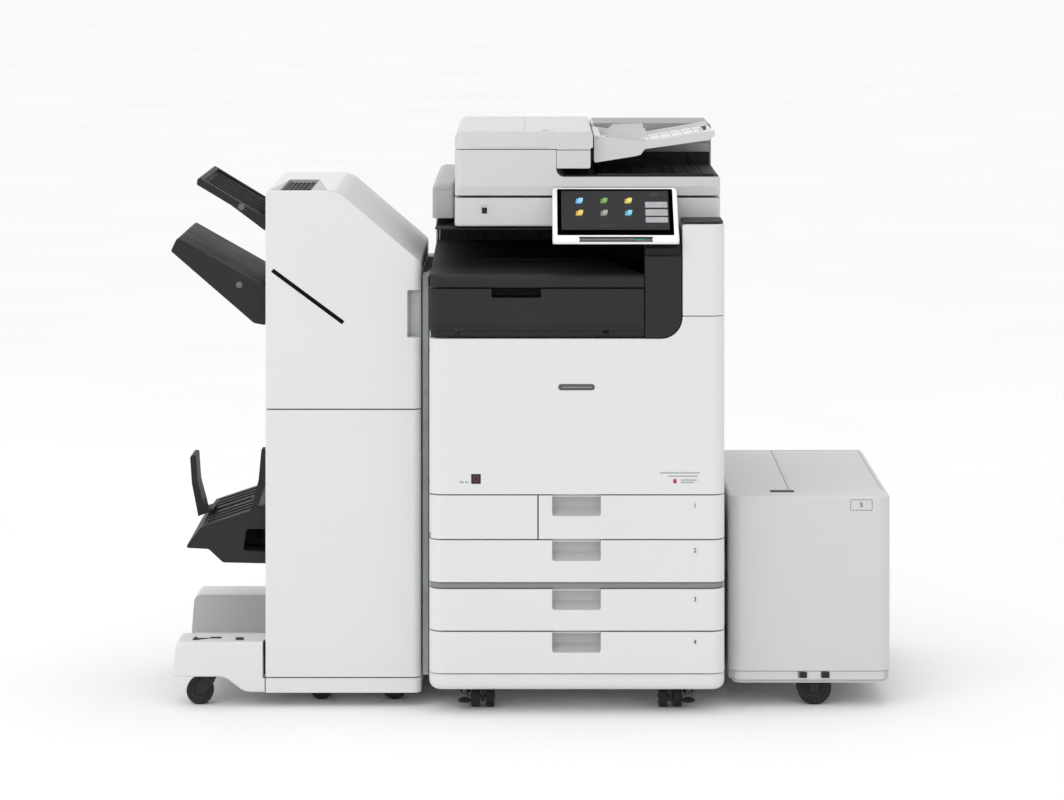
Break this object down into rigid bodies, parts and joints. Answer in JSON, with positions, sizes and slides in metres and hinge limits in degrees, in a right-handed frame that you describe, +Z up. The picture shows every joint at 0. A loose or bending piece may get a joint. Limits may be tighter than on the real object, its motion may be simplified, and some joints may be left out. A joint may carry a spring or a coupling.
{
  "type": "photocopier",
  "caption": "Console colour copier with document feeder, stacked paper cassettes, booklet finisher and side paper deck; covers, drawers, trays, doors and casters move.",
  "frame": {"origin": "on the floor, at the bottom centre of the bounding box of the whole machine", "axes": "+X to the machine's right seen from the front (longest side), +Y to the rear, +Z up"},
  "size_m": [1.5214, 0.7566, 1.213],
  "materials": {
    "white_cover": "fine spark texture, satin",
    "light_grey_cover": "fine spark texture, satin",
    "mid_grey_plastic": "matt moulded",
    "black_plastic": "fine spark texture, matt",
    "frame_steel": "zinc-coated sheet, dull",
    "screw_steel": "plated",
    "rubber_black": "matt",
    "roller_rubber": "ground",
    "clear_glass": "polished",
    "panel_bezel": "semi-gloss",
    "toner_plastic": "moulded",
    "unit_metal": "satin"
  },
  "bodies": {
    "main_unit": {"main_chassis": "frame_steel", "base_skirt": "white_cover", "rear_cover": "light_grey_cover", "left_cover": "light_grey_cover", "right_cover": "light_grey_cover", "column_cover": "white_cover", "tower_cover": "mid_grey_plastic", "bay_liner": "black_plastic", "output_tray": "black_plastic", "inner_cover": "mid_grey_plastic", "toner_containers": "toner_plastic", "imaging_unit": "unit_metal", "fixing_unit": "unit_metal", "main_caster_forks": "unit_metal", "cover_screws": "screw_steel", "reader_housing": "light_grey_cover", "platen_glass": "clear_glass", "adf_hinges": "unit_metal"},
    "document_feeder": {"adf_base": "light_grey_cover", "adf_paper_bed": "black_plastic"},
    "feeder_cover": {"adf_feeder_cover": "light_grey_cover"},
    "document_tray": {"adf_document_tray": "light_grey_cover"},
    "guide_front": {"adf_guide_front": "mid_grey_plastic"},
    "guide_rear": {"adf_guide_rear": "mid_grey_plastic"},
    "feed_roller": {"adf_feed_roller": "roller_rubber"},
    "scan_carriage": {"scan_carriage": "black_plastic"},
    "control_panel": {"panel_housing": "panel_bezel"},
    "energy_saver_key": {"energy_saver_key": "mid_grey_plastic"},
    "front_cover": {"front_cover": "white_cover"},
    "toner_cover": {"toner_cover": "black_plastic"},
    "waste_cover": {"waste_cover": "white_cover"},
    "right_door": {"right_door": "light_grey_cover"},
    "bypass_tray": {"bypass_tray": "light_grey_cover"},
    "power_switch": {"power_switch": "black_plastic"},
    "exit_rollers": {"exit_rollers": "roller_rubber"},
    "cassette_1": {"cassette_1": "white_cover"},
    "cassette_2": {"cassette_2": "white_cover"},
    "cassette_3": {"cassette_3": "white_cover"},
    "cassette_4": {"cassette_4": "white_cover"},
    "main_wheels_front": {"main_wheels_front": "rubber_black"},
    "main_wheels_rear": {"main_wheels_rear": "rubber_black"},
    "finisher": {"finisher_frame": "white_cover", "finisher_base": "white_cover", "booklet_base": "light_grey_cover", "booklet_tray": "black_plastic"},
    "finisher_top_cover": {"finisher_top_cover": "black_plastic"},
    "finisher_upper_door": {"finisher_upper_door": "white_cover"},
    "finisher_lower_door": {"finisher_lower_door": "white_cover"},
    "upper_tray": {"upper_tray": "black_plastic"},
    "lower_tray": {"lower_tray": "black_plastic"},
    "booklet_stopper": {"booklet_stopper": "black_plastic"},
    "finisher_caster": {"finisher_caster_fork": "unit_metal"},
    "finisher_caster_wheel": {"finisher_caster_wheel": "rubber_black"},
    "finisher_wheels_left": {"finisher_wheels_left": "rubber_black"},
    "finisher_wheels_right": {"finisher_wheels_right": "rubber_black"},
    "paper_deck": {"deck_shell": "light_grey_cover"},
    "deck_lid": {"deck_lid": "light_grey_cover"},
    "deck_lift_plate": {"deck_lift_plate": "frame_steel"},
    "deck_button": {"deck_button": "light_grey_cover"},
    "deck_wheels": {"deck_wheels": "rubber_black"}
  },
  "joints": [
    {"name": "adf_lift", "type": "hinge", "parent": "main_unit", "child": "document_feeder", "pos_m": [0.09845, 0.3535, 1.076], "axis": [-1, 0, 0], "range_deg": [0, 70]},
    {"name": "front_cover_swing", "type": "hinge", "parent": "main_unit", "child": "front_cover", "pos_m": [-0.20255, -0.3205, 0.62], "axis": [0, 0, -1], "range_deg": [0, 90]},
    {"name": "toner_cover_drop", "type": "hinge", "parent": "main_unit", "child": "toner_cover", "pos_m": [0.01845, -0.337, 0.794], "axis": [1, 0, 0], "range_deg": [0, 80]},
    {"name": "right_door_swing", "type": "hinge", "parent": "main_unit", "child": "right_door", "pos_m": [0.40145, 0.259, 0.73], "axis": [0, 0, 1], "range_deg": [0, 85]},
    {"name": "cassette_1_slide", "type": "slide", "parent": "main_unit", "child": "cassette_1", "axis": [0, -1, 0], "range_m": [0, 0.42]},
    {"name": "cassette_2_slide", "type": "slide", "parent": "main_unit", "child": "cassette_2", "axis": [0, -1, 0], "range_m": [0, 0.42]},
    {"name": "cassette_3_slide", "type": "slide", "parent": "main_unit", "child": "cassette_3", "axis": [0, -1, 0], "range_m": [0, 0.42]},
    {"name": "cassette_4_slide", "type": "slide", "parent": "main_unit", "child": "cassette_4", "axis": [0, -1, 0], "range_m": [0, 0.42]},
    {"name": "finisher_dock_slide", "type": "slide", "parent": "main_unit", "child": "finisher", "axis": [-1, 0, 0], "range_m": [0, 0.3]},
    {"name": "upper_door_swing", "type": "hinge", "parent": "finisher", "child": "finisher_upper_door", "pos_m": [-0.55275, -0.2509, 0.85], "axis": [0, 0, -1], "range_deg": [0, 100]},
    {"name": "lower_door_swing", "type": "hinge", "parent": "finisher", "child": "finisher_lower_door", "pos_m": [-0.55275, -0.2569, 0.35], "axis": [0, 0, -1], "range_deg": [0, 90]},
    {"name": "upper_tray_travel", "type": "slide", "parent": "finisher", "child": "upper_tray", "axis": [0, 0, 1], "range_m": [-0.08, 0]},
    {"name": "lower_tray_travel", "type": "slide", "parent": "finisher", "child": "lower_tray", "axis": [0, 0, 1], "range_m": [-0.24, 0]},
    {"name": "deck_dock_slide", "type": "slide", "parent": "main_unit", "child": "paper_deck", "axis": [1, 0, 0], "range_m": [0, 0.25]},
    {"name": "deck_lid_lift", "type": "hinge", "parent": "paper_deck", "child": "deck_lid", "pos_m": [0.55545, 0.0755, 0.4409], "axis": [0, 1, 0], "range_deg": [-80, 0]},
    {"name": "feeder_cover_lift", "type": "hinge", "parent": "document_feeder", "child": "feeder_cover", "pos_m": [-0.15155, 0.0555, 1.1815], "axis": [0, 1, 0], "range_deg": [-75, 0]},
    {"name": "document_tray_lift", "type": "hinge", "parent": "document_feeder", "child": "document_tray", "pos_m": [0.14305, -0.0495, 1.1946], "axis": [0, -1, 0], "range_deg": [0, 60]},
    {"name": "guide_front_slide", "type": "slide", "parent": "document_tray", "child": "guide_front", "axis": [0, 1, 0], "range_m": [0, 0.044]},
    {"name": "guide_rear_slide", "type": "slide", "parent": "document_tray", "child": "guide_rear", "axis": [0, 1, 0], "range_m": [-0.044, 0]},
    {"name": "panel_tilt", "type": "hinge", "parent": "main_unit", "child": "control_panel", "pos_m": [0.17845, -0.2565, 1.05], "axis": [1, 0, 0], "range_deg": [0, 10]},
    {"name": "energy_saver_press", "type": "slide", "parent": "control_panel", "child": "energy_saver_key", "axis": [0, 0.5942, -0.8043], "range_m": [0, 0.0012]},
    {"name": "power_switch_rock", "type": "hinge", "parent": "main_unit", "child": "power_switch", "pos_m": [0.34845, -0.3065, 0.74], "axis": [1, 0, 0], "range_deg": [0, 12]},
    {"name": "waste_cover_drop", "type": "hinge", "parent": "main_unit", "child": "waste_cover", "pos_m": [-0.09655, -0.341, 0.3728], "axis": [1, 0, 0], "range_deg": [0, 60]},
    {"name": "bypass_tray_drop", "type": "hinge", "parent": "right_door", "child": "bypass_tray", "pos_m": [0.40405, 0.0055, 0.512], "axis": [0, 1, 0], "range_deg": [0, 70]},
    {"name": "top_cover_lift", "type": "hinge", "parent": "finisher", "child": "finisher_top_cover", "pos_m": [-0.52355, -0.0945, 1.078], "axis": [0, -1, 0], "range_deg": [0, 45]},
    {"name": "booklet_stopper_slide", "type": "slide", "parent": "finisher", "child": "booklet_stopper", "axis": [0.9487, 0, 0.3162], "range_m": [0, 0.07]},
    {"name": "scan_carriage_travel", "type": "slide", "parent": "main_unit", "child": "scan_carriage", "axis": [1, 0, 0], "range_m": [0, 0.43]},
    {"name": "deck_lift_travel", "type": "slide", "parent": "paper_deck", "child": "deck_lift_plate", "axis": [0, 0, 1], "range_m": [0, 0.31]},
    {"name": "deck_button_press", "type": "slide", "parent": "paper_deck", "child": "deck_button", "axis": [0, 1, 0], "range_m": [0, 0.0014]},
    {"name": "exit_roller_spin", "type": "hinge", "parent": "main_unit", "child": "exit_rollers", "pos_m": [0.32945, 0.0155, 0.935], "axis": [0, 1, 0], "continuous": true},
    {"name": "feed_roller_spin", "type": "hinge", "parent": "document_feeder", "child": "feed_roller", "pos_m": [0.00845, 0.0155, 1.14], "axis": [0, 1, 0], "continuous": true},
    {"name": "main_front_wheel_spin", "type": "hinge", "parent": "main_unit", "child": "main_wheels_front", "pos_m": [0.09845, -0.2595, 0.022], "axis": [1, 0, 0], "continuous": true},
    {"name": "main_rear_wheel_spin", "type": "hinge", "parent": "main_unit", "child": "main_wheels_rear", "pos_m": [0.09845, 0.2905, 0.022], "axis": [1, 0, 0], "continuous": true},
    {"name": "caster_swivel", "type": "hinge", "parent": "finisher", "child": "finisher_caster", "pos_m": [-0.67755, -0.2305, 0.06], "axis": [0, 0, 1], "continuous": true},
    {"name": "caster_wheel_spin", "type": "hinge", "parent": "finisher_caster", "child": "finisher_caster_wheel", "pos_m": [-0.69755, -0.2305, 0.0285], "axis": [0, 1, 0], "continuous": true},
    {"name": "finisher_left_wheel_spin", "type": "hinge", "parent": "finisher", "child": "finisher_wheels_left", "pos_m": [-0.44315, -0.0245, 0.025], "axis": [0, 1, 0], "continuous": true},
    {"name": "finisher_right_wheel_spin", "type": "hinge", "parent": "finisher", "child": "finisher_wheels_right", "pos_m": [-0.28755, -0.0245, 0.025], "axis": [0, 1, 0], "continuous": true},
    {"name": "deck_wheel_spin", "type": "hinge", "parent": "paper_deck", "child": "deck_wheels", "pos_m": [0.60145, 0.0155, 0.036], "axis": [0, 1, 0], "continuous": true}
  ],
  "couplings": [
    {"joint": "guide_rear_slide", "follows": "guide_front_slide", "ratio": -1},
    {"joint": "caster_wheel_spin", "follows": "finisher_dock_slide", "rad_per_m": -35.088},
    {"joint": "finisher_left_wheel_spin", "follows": "finisher_dock_slide", "rad_per_m": -40},
    {"joint": "finisher_right_wheel_spin", "follows": "finisher_dock_slide", "rad_per_m": -40},
    {"joint": "deck_wheel_spin", "follows": "deck_dock_slide", "rad_per_m": 27.778}
  ]
}
